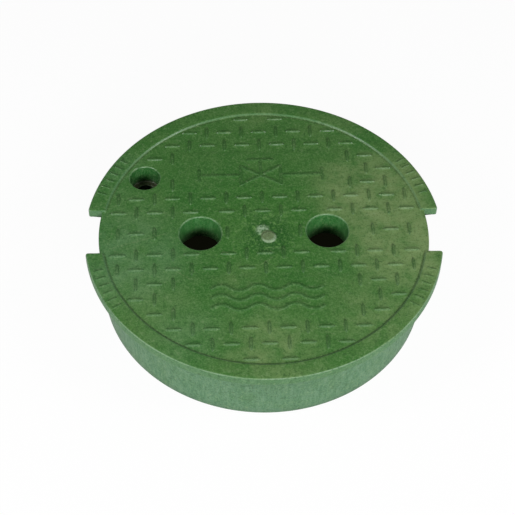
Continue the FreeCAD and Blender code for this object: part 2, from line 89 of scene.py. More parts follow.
holeMouths = holeCircles(finger["r"] + finger["round"], bolt["r"] + bolt["round"])


# Columns side by side: one row per point
def stack(*columns):
    return np.column_stack(columns)


# t held to 0..1 with rounded knees: half of one plus |t| less |t - 1|, each |.| a hyperbola of width e
def softClamp(t, e):
    return 0.5 * (1 + np.sqrt(t * t + e * e) - np.sqrt((t - 1) ** 2 + e * e))


# Smooth random height: mean of sines with seeded directions, lengths and phases, about -1..1
def waver(x, y, length, seed):
    pick = np.random.default_rng(seed)
    turn, phase = pick.uniform(0, tau, (2, 9))
    rate = tau / length * pick.uniform(0.6, 1.6, 9)
    across = np.multiply.outer(x, np.cos(turn)) + np.multiply.outer(y, np.sin(turn))
    return np.sin(across * rate + phase).sum(-1) / 3


# Points of an arc: centre plus radius times (cos, sin) of angles from a to b
def arc(cx, cy, r, a, b, count):
    turn = np.linspace(a, b, count)
    return stack(cx + r * np.cos(turn), cy + r * np.sin(turn))


# Plane turn by an angle: (x cos - y sin, x sin + y cos)
def turned(points, angle):
    c, s = math.cos(angle), math.sin(angle)
    return stack(points[:, 0] * c - points[:, 1] * s, points[:, 0] * s + points[:, 1] * c)


# Distance from points to segments: length to the nearest place on each segment, least over the segments
def segmentDistance(x, y, segments):
    best = np.full(x.shape, 1e9)
    for ax, ay, bx, by in segments:
        dx, dy = bx - ax, by - ay
        t = np.clip(((x - ax) * dx + (y - ay) * dy) / (dx * dx + dy * dy), 0, 1)
        best = np.minimum(best, np.hypot(x - ax - t * dx, y - ay - t * dy))
    return best


# Lug places: square grid, by turns along x and y, rows on half pitches off the middle, clear of the rest
def lugPlaces():
    last = int(rim["foot"] / lugs["pitch"])
    rows = np.array([0.0] + [s * (k + 0.5) for k in range(1, last + 1) for s in (-1, 1)])
    order = np.array([0] + [k for k in range(1, last + 1) for s in (-1, 1)])
    columns = np.arange(-last, last + 1)
    row, column = np.meshgrid(np.arange(len(rows)), columns, indexing="ij")
    x = column.ravel() * lugs["pitch"]
    y = rows[row.ravel()] * lugs["pitch"]
    along = (column.ravel() + order[row.ravel()]) % 2 == 1
    halfX = np.where(along, lugs["half"], lugs["side"])
    halfY = np.where(along, lugs["side"], lugs["half"])
    reach = np.hypot(np.abs(x) + np.where(along, halfX, 0), np.abs(y) + np.where(along, 0, halfY))
    keep = reach <= rim["foot"] - lugs["rimGap"]
    kept = [(cx, cy, r + lugs["holeGap"]) for cx, cy, r in holeMouths] + [(0, 0, panel["gateClear"])]
    for cx, cy, r in kept:
        gap = np.hypot(np.maximum(np.abs(x - cx) - halfX, 0), np.maximum(np.abs(y - cy) - halfY, 0))
        keep &= gap >= r
    beside = np.abs(x) - halfX > panel["halfX"]
    clear = np.abs(np.abs(y) - panel["offset"]) - halfY > panel["halfY"]
    keep &= beside | clear
    return stack(x, y, along)[keep]


lugAt = lugPlaces()
lugWear = np.random.default_rng(11).uniform(0.9, 1.03, len(lugAt))  # each crown a little different


# Symbol lines: two triangles point to point on a pipe with stem and handle; three waves as chains of arcs
def symbolLines():
    w, h, top, end = valve["halfX"], valve["halfY"], valve["stem"], valve["pipe"]
    grip, flange = valve["handle"], valve["flange"]
    plain = [(-w, -h, w, h), (-w, h, w, -h), (0, 0, 0, top), (-grip, top, grip, top)]
    for s in (-1, 1):
        plain += [(s * w, -h, s * w, h), (s * w, 0, s * end, 0), (s * end, -flange, s * end, flange)]
    straight = [(ax, ay + valve["y"], bx, by + valve["y"]) for ax, ay, bx, by in plain]
    bend = wave["chord"] / 2 / math.sin(wave["slope"])
    turn = np.linspace(-wave["slope"], wave["slope"], 11)
    bow = stack(bend * np.sin(turn), bend * np.cos(turn) - bend * math.cos(wave["slope"]))
    middle = (wave["bows"] - 1) / 2
    bows = [bow[:-1] * (1, (-1) ** i) + ((i - middle) * wave["chord"], 0) for i in range(wave["bows"])]
    chain = np.concatenate(bows + [[[wave["bows"] * wave["chord"] / 2, 0.0]]])
    chains = [chain + (0, step * wave["gap"] - panel["offset"]) for step in (-1, 0, 1)]
    curved = [(*a, *b) for line in chains for a, b in zip(line[:-1], line[1:])]
    return straight + curved, chains, straight


symbolSegments, waveChains, valveLines = symbolLines()


# Rim ticks: short radial lines in a group on each side of each notch
def tickLines():
    lines = []
    for side in (0, 180):
        for way in (-1, 1):
            steps = tick["start"] + np.arange(tick["count"]) * tick["step"]
            turn = np.radians(side + way * steps) + notch["turn"]
            c, s = np.cos(turn), np.sin(turn)
            a, b = tick["r"] - tick["length"] / 2, tick["r"] + tick["length"] / 2
            lines += [tuple(line) for line in stack(a * c, a * s, b * c, b * s)]
    return lines


tickSegments = tickLines()


# Lug plan: half width across, side times (1 - (along / half)^blunt)
def lugWidth(s):
    return lugs["side"] * (1 - np.minimum(np.abs(s) / lugs["half"], lugs["beyond"]) ** lugs["blunt"])


# Lug height: crest, lower to the ends by fall times (along / half)^2, times a soft ramp over the flank
def lugHeight(x, y):
    best = np.zeros(x.shape)
    for (cx, cy, along), wear in zip(lugAt, lugWear):
        near = np.flatnonzero((np.abs(x - cx) < lugs["near"]) & (np.abs(y - cy) < lugs["near"]))
        s, t = (x[near] - cx, y[near] - cy) if along else (y[near] - cy, x[near] - cx)
        out = np.minimum(np.abs(s) / lugs["half"], lugs["beyond"])
        crest = wear * lugs["height"] * (1 - lugs["fall"] * out ** 2)
        z = crest * softClamp((lugWidth(s) - np.abs(t)) / lugs["flank"], lugs["knee"])
        best[near] = np.maximum(best[near], z - lugs["tail"])
    return np.maximum(best, 0)


# Gate mark height: larger of a low round pad and a torn oval stub, both roughened by waver
def gateHeight(x, y):
    rough = waver(x, y, 2.6, 5)
    far = np.hypot((x - gate["padX"]) * 1.05, (y - gate["padY"]) * 0.95)
    pad = gate["padHeight"] * softClamp((gate["padR"] + 0.5 * rough - far) / gate["edge"], gate["knee"])
    d = np.hypot((x - gate["stubX"]) * 0.96, (y - gate["stubY"]) * 1.06)
    tilt = 1 + 0.05 * (y - gate["stubY"])
    stub = gate["stubHeight"] * tilt * softClamp((gate["stubR"] - d) / gate["edge"], gate["knee"])
    torn = np.maximum(pad * (1 + 0.25 * waver(x, y, 1.5, 8)), stub * (0.92 + 0.08 * rough))
    return np.where(np.hypot(x, y) < gate["reach"], torn, 0)


# Distance from the line through both notches: |y| after the notches' turn is undone
def fromNotch(x, y):
    return np.abs(y * math.cos(notch["turn"]) - x * math.sin(notch["turn"]))


# Rim height: rise times a soft ramp in r, times a soft ramp that opens it at the notches
def rimHeight(x, y):
    ramp = softClamp((np.hypot(x, y) - rim["foot"]) / rim["slope"], rim["knee"])
    opened = softClamp((fromNotch(x, y) - notch["endFrom"]) / notch["endRun"], notch["endKnee"])
    return rim["rise"] * ramp * opened


# Raised line height: height times a soft ramp of (half - distance) over the edge
def lineHeight(x, y, segments, kind):
    inward = kind["half"] - segmentDistance(x, y, segments)
    return kind["height"] * softClamp(inward / kind["edge"], kind["knee"])


# Top of the cover: plate level plus rim, panel step, lugs, raised lines, gate mark and a slight waver
def topHeight(x, y):
    r = np.hypot(x, y)
    z = rimHeight(x, y) + lugHeight(x, y) + gateHeight(x, y)
    px = softClamp((panel["halfX"] - panel["inset"] - np.abs(x)) / panel["edge"], panel["knee"])
    aside = np.abs(np.abs(y) - panel["offset"])
    py = softClamp((panel["halfY"] - panel["inset"] - aside) / panel["edge"], panel["knee"])
    z = z + panel["step"] * px * py
    inPanel = np.flatnonzero((np.abs(x) < 50) & (aside < 20))  # round all symbols
    z[inPanel] += lineHeight(x[inPanel], y[inPanel], symbolSegments, stroke)
    onRim = np.flatnonzero(r > cover["skirtR"])
    z[onRim] += lineHeight(x[onRim], y[onRim], tickSegments, tick)
    calm = np.clip((uneven["edgeR"] - r) / uneven["edgeRun"], 0, 1)
    for cx, cy, edge in holeMouths:
        calm = calm * np.clip((np.hypot(x - cx, y - cy) - edge - uneven["holeGap"]) / uneven["holeRun"], 0, 1)
    return cover["plateTop"] + z + uneven["height"] * calm * waver(x, y, uneven["length"], 3)


# Underside: plate level less the deepest of ring ribs, spokes, tubes and boss, each with a drafted side
def underHeight(x, y):
    r = np.hypot(x, y)
    draft = rib["draft"]

    # Drafted side: 0..1 ramp of (edge - distance) over twice the draft
    def side(edge, d):
        return np.clip((edge + draft - d) / (2 * draft), 0, 1)

    depth = np.zeros(x.shape)
    for ring in rib["rings"]:
        depth = np.maximum(depth, rib["depth"] * side(rib["half"], np.abs(r - ring)))
    for k in range(rib["spokes"]):
        c, s = math.cos(k * tau / rib["spokes"]), math.sin(k * tau / rib["spokes"])
        out = x * c + y * s > rib["rings"][0] - 0.01
        depth = np.maximum(depth, out * rib["depth"] * side(rib["half"], np.abs(y * c - x * s)))
    tube = cover["plateUnder"] - finger["end"]
    for s in (-1, 1):
        d = np.hypot(x - s * finger["x"], y)
        depth = np.maximum(depth, tube * side(finger["r"] + finger["wall"], d))
    d = np.hypot(x - bolt["x"], y - bolt["y"])
    depth = np.maximum(depth, (cover["plateUnder"] - bolt["end"]) * side(bossR, d))
    return cover["plateUnder"] - depth


# Lip outline, anticlockwise: a notch (mouth, side, corner, back, mirrored), then the rim's arc, both twice
def lipOutline():
    bends, backs, rims = 200, 400, 4001  # points on a small arc, on a notch's back and on the rim
    half, rm, rc = notch["half"], notch["mouthRound"], notch["cornerRound"]
    mouthY = half + rm
    mouthX = math.sqrt((cover["lipR"] - rm) ** 2 - mouthY ** 2)
    cornerY = half - rc
    cornerX = math.sqrt((notch["backR"] + rc) ** 2 - cornerY ** 2)
    mouthTurn, cornerTurn = math.atan2(mouthY, mouthX), math.atan2(cornerY, cornerX)
    mouth = arc(mouthX, mouthY, rm, -math.pi / 2, mouthTurn, bends)
    corner = arc(cornerX, cornerY, rc, math.pi + cornerTurn, math.pi / 2, bends)
    back = arc(0, 0, notch["backR"], -cornerTurn, cornerTurn, backs)[1:-1]
    main = arc(0, 0, cover["lipR"], mouthTurn, math.pi - mouthTurn, rims)[1:-1]
    upper = [corner, mouth]
    lower = [part[::-1] * (1, -1) for part in upper[::-1]]
    points = np.concatenate(lower + [back] + upper + [main])

    # Edge radius along the outline: steady on the back and the rim, a straight change over each small arc
    def radii(onBack, onSide, onRim):
        rise = np.concatenate([np.linspace(onBack, onSide, bends), np.linspace(onSide, onRim, bends)])
        return np.concatenate([rise[::-1], np.full(len(back), onBack), rise, np.full(len(main), onRim)])

    top = radii(cover["backRound"], cover["sideRound"], cover["lipRound"])
    low = radii(cover["backUnder"], cover["underRound"], cover["underRound"])
    skirtTurn = np.concatenate([
        np.linspace(-mouthTurn, -cornerTurn, 2 * bends), np.linspace(-cornerTurn, cornerTurn, backs)[1:-1],
        np.linspace(cornerTurn, mouthTurn, 2 * bends),
        np.linspace(mouthTurn, math.pi - mouthTurn, rims)[1:-1]])
    points = np.concatenate([points, -points])
    skirtTurn = np.concatenate([skirtTurn, skirtTurn + math.pi])
    return turned(points, notch["turn"]), np.tile(top, 2), np.tile(low, 2), skirtTurn + notch["turn"]


spread = {"run": 1.9, "bend": 0.16, "sharpest": 0.2}  # one column per 1.9 mm and per 0.16 radians


# Column choice: fine outline points thinned to a spacing that shrinks where the outline turns
def chooseColumns(path):
    ahead = np.roll(path, -1, 0) - path
    run = np.hypot(*ahead.T)
    heading = np.unwrap(np.arctan2(ahead[:, 1], ahead[:, 0]))
    bend = np.abs(np.roll(heading, -1) - heading)
    bend[-1] = 0
    cost = np.cumsum(run / spread["run"] + np.clip(bend, 0, spread["sharpest"]) / spread["bend"])
    marks = np.linspace(0, cost[-1], int(cost[-1]), endpoint=False)
    return np.unique(np.searchsorted(cost, marks))


path, topRound, lowRound, skirtTurn = lipOutline()
ahead = np.roll(path, -1, 0) - np.roll(path, 1, 0)
normal = stack(ahead[:, 1], -ahead[:, 0]) / np.hypot(*ahead.T)[:, None]
inner = path - normal * topRound[:, None]
acrossInner = fromNotch(*inner.T)
knee = notch["endKnee"]
stepLines = notch["endFrom"] + notch["endRun"] * np.array([-knee, knee, 0.5, 1 - knee, 1 + knee])
atNotch = np.hypot(*inner.T) < notch["outerR"]  # back and corners
atNotch &= np.roll(atNotch, -1)
acrossNext = np.roll(acrossInner, -1)
crossings = [np.flatnonzero(atNotch & ((acrossInner < v) != (acrossNext < v))) for v in stepLines]
edges = [rib["half"] - rib["draft"], rib["half"] + rib["draft"]]
ribTurns = [k * tau / rib["spokes"] + s * math.asin(e / cover["innerJoin"])
            for k in range(rib["spokes"]) for s in (-1, 1) for e in edges]


# Angle at the corner between sides a and b of a triangle, across from side c, by the law of cosines
def cornerAngle(a, b, c):
    return math.acos((a * a + b * b - c * c) / (2 * a * b))


bossTurns = [bolt["angle"] + s * cornerAngle(cover["innerJoin"], bolt["reach"], bossR + d)
             for s in (-1, 1) for d in (-rib["draft"], rib["draft"])]
wanted = (np.array(ribTurns + bossTurns) - skirtTurn[0]) % tau + skirtTurn[0]
ribColumns = np.searchsorted(skirtTurn, wanted) % len(skirtTurn)
column = np.unique(np.concatenate([chooseColumns(path), *crossings, ribColumns]))
path, inner, normal = path[column], inner[column], normal[column]
topRound, lowRound, skirtTurn = topRound[column], lowRound[column], skirtTurn[column]
inner = inner.astype(np.float32).astype(float)
print("stage: outline", len(column), "columns")


# Closed loop edges: each point to the next, the last to the first, for each of several equal loops
def loopEdges(count, loops=1):
    i = np.arange(count)
    one = stack(i, np.roll(i, -1))
    return (one[None] + (np.arange(loops) * count)[:, None, None]).reshape(-1, 2)


# Chain edges: each point to the next
def chainEdges(count):
    i = np.arange(count - 1)
    return stack(i, i + 1)


# Capsule: points at distance d from a segment, by straight lines beside it and half circles round its ends
def capsule(segment, d, spacing):
    ax, ay, bx, by = segment
    length = math.hypot(bx - ax, by - ay)
    heading = math.atan2(by - ay, bx - ax)
    steps = max(int(length / spacing), 2)
    t = np.linspace(0, length, steps + 1)[1:-1]
    right = stack(t, np.full(len(t), -d))
    left = stack(t[::-1], np.full(len(t), d))
    nose = arc(length, 0, d, -math.pi / 2, math.pi / 2, 9)
    tail = arc(0, 0, d, math.pi / 2, 3 * math.pi / 2, 9)
    return turned(np.concatenate([right, nose, left, tail]), heading) + (ax, ay)


# Triangles over plane points and edges, kept where the middle is inside the outline and outside the holes
def triangulate(parts, outline, holes):
    starts = np.cumsum([0] + [len(p) for p, e in parts])
    points = np.concatenate([p for p, e in parts])
    links = np.concatenate([e + s for (p, e), s in zip(parts, starts) if len(e)])
    made = delaunay_2d_cdt(points.tolist(), links.tolist(), [], 0, 1e-4)
    plan = np.array(made[0], dtype=float).reshape(-1, 2)
    faces = np.array(made[2])
    middle = plan[faces].mean(1)
    keep = insideLoop(middle, outline)
    for cx, cy, r in holes:
        keep &= np.hypot(middle[:, 0] - cx, middle[:, 1] - cy) > r - sag
    faces = faces[keep]
    a, b, c = (plan[faces[:, i]] for i in range(3))
    area = (b[:, 0] - a[:, 0]) * (c[:, 1] - a[:, 1]) - (b[:, 1] - a[:, 1]) * (c[:, 0] - a[:, 0])
    faces[area < 0] = faces[area < 0][:, ::-1]
    return plan, faces


# Inside test: odd number of loop edges crossed by a ray along x, in blocks
def insideLoop(points, loop):
    ax, ay = loop[:, 0], loop[:, 1]
    bx, by = np.roll(ax, -1), np.roll(ay, -1)
    rise = np.where(by == ay, 1e-12, by - ay)
    inside = np.zeros(len(points), bool)
    for start in range(0, len(points), 4000):
        x, y = points[start:start + 4000, 0:1], points[start:start + 4000, 1:2]
        hit = ((ay > y) != (by > y)) & (x < ax + (y - ay) * (bx - ax) / rise)
        inside[start:start + 4000] = hit.sum(1) % 2 == 1
    return inside


none = np.zeros((0, 2), int)
fill = {"top": (2.6, 1.3), "under": (6.0, 2.4), "lean": 0.31}  # spacing and gap; turned off the tread's lines
sag = 0.008  # a hole's chords lie this far inside its circle at most
fingerTurn = np.arange(finger["count"]) * tau / finger["count"]
boltTurn = np.arange(bolt["count"]) * tau / bolt["count"]


# Circle of points at given angles, rounded to single precision so that neighbours share them exactly
def ringAt(cx, cy, r, turn):
    ring = stack(cx + r * np.cos(turn), cy + r * np.sin(turn))
    return ring.astype(np.float32).astype(float)


# Lug net: loops at insets from the plan, each a little shorter than the one outside it, and a crest line
def lugNet():
    s = np.sin(np.linspace(-math.pi / 2, math.pi / 2, 19))[1:-1] * lugs["half"]
    loops = []
    for inset in lugs["insets"]:
        reach = (1 - inset / lugs["side"]) ** (1 / lugs["blunt"])
        upper = stack(s * reach, lugWidth(s * reach) - inset)
        tip = np.array([[reach * lugs["half"], 0]])
        loops.append(np.concatenate([upper * (1, -1), tip, upper[::-1], -tip]))
    crest = stack(s * lugs["crest"], 0 * s)
    template = np.concatenate(loops + [crest])
    count = len(loops[0])
    links = np.concatenate([loopEdges(count, len(loops)), chainEdges(len(crest)) + count * len(loops)])
    along = lugAt[:, 2:3].astype(bool)
    x = np.where(along, template[:, 0], template[:, 1]) + lugAt[:, 0:1]
    y = np.where(along, template[:, 1], template[:, 0]) + lugAt[:, 1:2]
    points = stack(x.ravel(), y.ravel())
    shift = np.arange(len(lugAt)) * len(template)
    return points, (links[None] + shift[:, None, None]).reshape(-1, 2)


# Line net: capsules round each straight line and offset curves beside each wave, at several distances
def lineNet():
    loops = [capsule(line, d, stroke["spacing"]) for line in valveLines for d in stroke["loops"]]
    loops += [capsule(line, d, tick["spacing"]) for line in tickSegments for d in tick["loops"]]
    for chain in waveChains:
        along = np.gradient(chain, axis=0)
        side = stack(-along[:, 1], along[:, 0]) / np.hypot(*along.T)[:, None]
        last, first = math.atan2(*along[-1][::-1]), math.atan2(*along[0][::-1])
        for d in stroke["waveLoops"]:
            nose = arc(*chain[-1], d, last - math.pi / 2, last + math.pi / 2, 9)[1:-1]
            tail = arc(*chain[0], d, first + math.pi / 2, first + 3 * math.pi / 2, 9)[1:-1]
            loops.append(np.concatenate([chain - side * d, nose, (chain + side * d)[::-1], tail]))
    parts = [(loop, loopEdges(len(loop))) for loop in loops]
    return parts + [(chain, chainEdges(len(chain))) for chain in waveChains]


# Plain points between features: a turned square grid, kept a little away from every net point
def fillPoints(spacing, gap, taken, outline, holes):
    count = int((cover["lipR"] + 10) / spacing)
    i, j = np.meshgrid(np.arange(-count, count + 1), np.arange(-count, count + 1))
    points = turned(stack(i.ravel(), j.ravel()) * spacing, fill["lean"])
    points = points[insideLoop(points, outline)]
    for cx, cy, r in holes:
        points = points[np.hypot(points[:, 0] - cx, points[:, 1] - cy) > r + gap]
    least = np.full(len(points), 1e9)
    for start in range(0, len(taken), 500):
        t = taken[start:start + 500]
        d = np.hypot(points[:, 0:1] - t[:, 0], points[:, 1:2] - t[:, 1])
        least = np.minimum(least, d.min(1))
    return points[least > gap]


# Panel outline: a rectangle's four sides, the last two being the first two turned half round
def panelLoop(hx, hy):
    xs, ys = np.linspace(-hx, hx, 60)[:-1], np.linspace(-hy, hy, 20)[:-1]
    half = np.concatenate([stack(xs, 0 * xs - hy), stack(0 * ys + hx, ys)])
    return np.concatenate([half, -half])


# Top skin: net of rim loops, notch steps, holes, lugs, lines and gate rings, lifted by topHeight
def topSkin():
    turns = (fingerTurn, fingerTurn, boltTurn)
    loops = [inner] + [ringAt(*mouth, turn) for mouth, turn in zip(holeMouths, turns)]
    circle = np.arange(rim["columns"]) * tau / rim["columns"]
    loops += [ringAt(0, 0, r, circle) for r in rim["loops"]]
    parts = [(loop, loopEdges(len(loop))) for loop in loops]
    for r in rim["rows"]:
        ring = ringAt(0, 0, r, circle[::2])
        parts.append((ring[fromNotch(*ring.T) > notch["half"] + notch["rowGap"]], none))
    for v in stepLines:
        for sx, sy in ((-1, -1), (-1, 1), (1, -1), (1, 1)):
            start = turned(np.array([[sx * math.sqrt(notch["stepR"] ** 2 - v * v), sy * v]]), notch["turn"])
            line = start + (stepEnd(v, sx, sy) - start) * np.linspace(0, 1, 9)[:, None]
            parts.append((line, chainEdges(9)))
    parts.append(lugNet())
    parts += lineNet()
    for name in ("pad", "stub"):
        x, y, radii = gate[name + "X"], gate[name + "Y"], gate[name + "Rings"]
        parts += [(ringAt(x, y, r, np.arange(36) * tau / 36), none) for r in radii]
    for sy in (-1, 1):
        for grow in (-0.4, -0.05):  # just inside the panel's step, and on it
            loop = panelLoop(panel["halfX"] - panel["inset"] + grow, panel["halfY"] - panel["inset"] + grow)
            parts.append((loop + (0, sy * panel["offset"]), loopEdges(len(loop))))
    taken = np.concatenate([p for p, e in parts])
    parts.append((fillPoints(*fill["top"], taken, inner, holeMouths), none))
    plan, faces = triangulate(parts, inner, holeMouths)
    return stack(plan, topHeight(*plan.T)), faces


# End of a notch step line: the outline point nearest to the line's level in that quarter of the cover
def stepEnd(v, sx, sy):
    local = turned(inner, -notch["turn"])
    here = (local[:, 0] * sx > 0) & (local[:, 1] * sy > 0) & (np.hypot(*local.T) < notch["outerR"])
    gap = np.where(here, np.abs(local[:, 1] * sy - v), 1e9)
    return inner[np.argmin(gap)][None]


# Grid faces between rows of equal length, each row closed on itself
def ringFaces(rows, count):
    i = np.arange(count)
    j = np.roll(i, -1)
    one = stack(i, i + count, j + count, j)
    return (one[None] + (np.arange(rows - 1) * count)[:, None, None]).reshape(-1, 4)


# Quarter turn: angles from 0 to a right angle
def quarter(count):
    return np.linspace(0, math.pi / 2, count)


# Quarter round: (r, z) from the plate's level into a bore, radius b
def roundIn(r, z, b, count=9):
    return [(r + b * (1 - math.sin(a)), z - b * (1 - math.cos(a))) for a in quarter(count)]


# Quarter round at a lower end: (r, z) from an upright wall to the level z, outwards by b, inwards if b < 0
def roundOut(r, z, b, count):
    return [(r + b * (1 - math.cos(a)), z + abs(b) * (1 - math.sin(a))) for a in quarter(count)]


# Skirt profile: (r, z) down the outside from the lip, round the foot, and up the tapered inside to the plate
def skirtProfile():
    f, foot, top = cover["fillet"], cover["footRound"], cover["plateUnder"] - cover["innerFillet"]
    profile = roundIn(cover["skirtR"], cover["lipUnder"], f, 5)
    profile += [(cover["skirtR"], z) for z in np.linspace(cover["lipUnder"] - f, foot, 10)[1:]]
    profile += roundOut(cover["skirtR"], 0, -foot, 5)[1:]
    profile += [(cover["skirtInside"] + foot * (1 - math.sin(a)), foot * (1 - math.cos(a)))
                for a in quarter(5)]
    profile += [(cover["skirtInside"] - cover["taper"] * z / cover["plateUnder"], z)
                for z in (*cover["insideRows"], top)]
    inside = cover["skirtInside"] - cover["taper"]
    profile += [(inside - cover["innerFillet"] * (1 - math.cos(a)), top + cover["innerFillet"] * math.sin(a))
                for a in quarter(4)[1:]]
    return profile


# Outer wall: lip rows offset from the outline along its normal, then the skirt's profile turned round
def wallRows():
    zTop = topHeight(*inner.T)
    rows = []
    for a in quarter(8):
        off = -topRound * (1 - math.sin(a))
        rows.append(stack(path + normal * off[:, None], zTop - topRound * (1 - math.cos(a))))
    rows[0][:, :2] = inner
    faceTop, faceLow = zTop - topRound, cover["lipUnder"] + lowRound
    for share in (0.33, 0.67):
        rows.append(stack(path, faceTop + (faceLow - faceTop) * share))
    for a in quarter(5):
        off = -lowRound * (1 - math.cos(a))
        z = cover["lipUnder"] + lowRound * (1 - math.sin(a))
        rows.append(stack(path + normal * off[:, None], z))
    compass = stack(np.cos(skirtTurn), np.sin(skirtTurn))
    shelf = compass * (cover["skirtR"] + cover["fillet"])
    rows.append(stack(0.5 * (rows[-1][:, :2] + shelf), np.full(len(path), cover["lipUnder"])))
    join = ringAt(0, 0, cover["innerJoin"], skirtTurn)
    ceiling = underHeight(*join.T)
    for r, z in skirtProfile():
        level = np.minimum(z, ceiling) if r < cover["skirtInside"] else np.full(len(path), z)
        rows.append(stack(compass * r, level))
    rows.append(stack(join, ceiling))
    return np.concatenate(rows), ringFaces(len(rows), len(path)), join


# Hole wall: profile of (r, z) turned about the hole's own axis; the first row lies on the top skin
def holeWall(cx, cy, turn, profile):
    rows = [stack(ringAt(cx, cy, r, turn), np.full(len(turn), z)) for r, z in profile]
    rows[0][:, 2] = topHeight(rows[0][:, 0], rows[0][:, 1])
    return np.concatenate(rows), ringFaces(len(rows), len(turn))[:, ::-1]


# Nearest point of a loop to a place
def nearest(loop, place):
    return loop[np.argmin(np.hypot(*(loop - place).T))]


# Spoke edges: lines along both drafted sides of each spoke, broken where a tube stands, snapped to the wall
def spokeLines(join):
    hub, count = rib["rings"][0], 14
    reach = finger["r"] + finger["round"]
    broken = [(hub, finger["x"] - reach), (finger["x"] + reach, None)]
    lines = []
    for k in range(rib["spokes"]):
        for s in (-1, 1):
            for e in edges:
                for low, high in broken if k % 3 == 0 else [(hub, None)]:
                    ends = np.array([[low, s * e], [high or cover["innerJoin"], s * e]])
                    ends = turned(ends, k * tau / rib["spokes"])
                    if not high:
                        ends[1] = nearest(join, ends[1])
                    line = ends[0] + (ends[1] - ends[0]) * np.linspace(0, 1, count)[:, None]
                    lines.append((line, chainEdges(count)))
    return lines


# Under skin: net of rib, spoke, tube and boss edges, set by underHeight, facing down
def underSkin(join):
    ends = holeCircles(finger["r"] + finger["endRound"], bolt["hole"] + finger["endRound"])
    loops = [join] + [ringAt(*end, turn) for end, turn in zip(ends, (fingerTurn, fingerTurn, boltTurn))]
    for ring in rib["rings"]:
        count = int(ring * 1.6) + 24
        loops += [ringAt(0, 0, ring + s * e, np.arange(count) * tau / count) for s in (-1, 1) for e in edges]
    drafts = (-rib["draft"], rib["draft"])
    tube = finger["r"] + finger["wall"]
    loops += [ringAt(s * finger["x"], 0, tube + d, fingerTurn) for s in (-1, 1) for d in drafts]
    parts = [(loop, loopEdges(len(loop))) for loop in loops]
    for d in drafts:
        swing = cornerAngle(bolt["reach"], bossR + d, cover["innerJoin"])
        inward = bolt["angle"] + math.pi
        chain = arc(bolt["x"], bolt["y"], bossR + d, inward - swing, inward + swing, 50)
        chain[0], chain[-1] = nearest(join, chain[0]), nearest(join, chain[-1])
        parts.append((chain, chainEdges(50)))
    parts += spokeLines(join)
    taken = np.concatenate([p for p, e in parts])
    parts.append((fillPoints(*fill["under"], taken, join, ends), none))
    plan, faces = triangulate(parts, join, ends)
    return stack(plan, underHeight(*plan.T)), faces[:, ::-1]


# Crown share: height of each kind of relief over its own full height, the largest of them, above only; the
# material paints shade on the relief from it
def crownShare(points):
    x, y, z = points.T
    share = lugHeight(x, y) / lugs["height"]
    share = np.maximum(share, lineHeight(x, y, symbolSegments, stroke) / stroke["height"])
    share = np.maximum(share, lineHeight(x, y, tickSegments, tick) / tick["height"])
    return np.where(z > cover["lipUnder"] + 4, np.clip(share, 0, 1), 0)


topVerts, topFaces = topSkin()
print("stage: top skin", len(topVerts), "points")
wallVerts, wallFaces, innerLoop = wallRows()
underVerts, underFaces = underSkin(innerLoop)
print("stage: wall and underside", len(wallVerts) + len(underVerts), "points")
tubeProfile = roundIn(finger["r"], cover["plateTop"], finger["round"])
tubeProfile += [(finger["r"], z) for z in finger["rows"]]
tubeProfile += roundOut(finger["r"], finger["end"], finger["endRound"], 4)
boltProfile = roundIn(bolt["r"], cover["plateTop"], bolt["round"])
boltProfile += [(bolt["r"], z) for z in bolt["rows"]]
boltProfile += roundOut(bolt["r"], bolt["ledge"], -bolt["corner"], 5)
boltProfile += [(bolt["ledgeR"], bolt["ledge"])] + roundIn(bolt["hole"], bolt["ledge"], bolt["holeRound"])
boltProfile += [(bolt["hole"], 0.5 * (bolt["ledge"] + bolt["end"]))]
boltProfile += roundOut(bolt["hole"], bolt["end"], finger["endRound"], 4)
shells = [(topVerts, topFaces), (wallVerts, wallFaces), (underVerts, underFaces)]
shells += [holeWall(s * finger["x"], 0, fingerTurn, tubeProfile) for s in (-1, 1)]
shells.append(holeWall(bolt["x"], bolt["y"], boltTurn, boltProfile))


# One closed mesh: all shells stacked, equal points merged, faces that shrink to a line dropped
def joinShells(name, shells):
    starts = np.cumsum([0] + [len(v) for v, f in shells])
    points = np.concatenate([v for v, f in shells])
    kept, where = np.unique(np.round(points, 4), axis=0, return_inverse=True)
    where = where.ravel()
    threes, fours = [], []
    for (v, f), s in zip(shells, starts):
        g = where[f + s]
        if g.shape[1] == 3:
            threes.append(g)
            continue
        same = g == np.roll(g, -1, 1)
        fours.append(g[same.sum(1) == 0])
        for k in range(4):
            drop = g[(same.sum(1) == 1) & same[:, k]]
            threes.append(np.delete(drop, k, 1))
    threes, fours = np.concatenate(threes), np.concatenate(fours)
    good = (threes[:, 0] != threes[:, 1]) & (threes[:, 1] != threes[:, 2]) & (threes[:, 2] != threes[:, 0])
    mesh = bpy.data.meshes.new(name)
    mesh.from_pydata((kept * mm).tolist(), [], threes[good].tolist() + fours.tolist())
    return mesh, kept


mesh, points = joinShells("cover_skin", shells)
crown = mesh.attributes.new("crown", "FLOAT", "POINT")
crown.data.foreach_set("value", crownShare(points).astype(np.float32))
mesh.shade_smooth()
mesh.set_sharp_from_angle(angle=math.radians(42))
skin = bpy.data.objects.new("cover_skin", mesh)
scene.collection.objects.link(skin)
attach(skin, "root")
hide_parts("valve_box_cover")
print("stage: cover skin", len(mesh.vertices), "points", len(mesh.polygons), "faces")


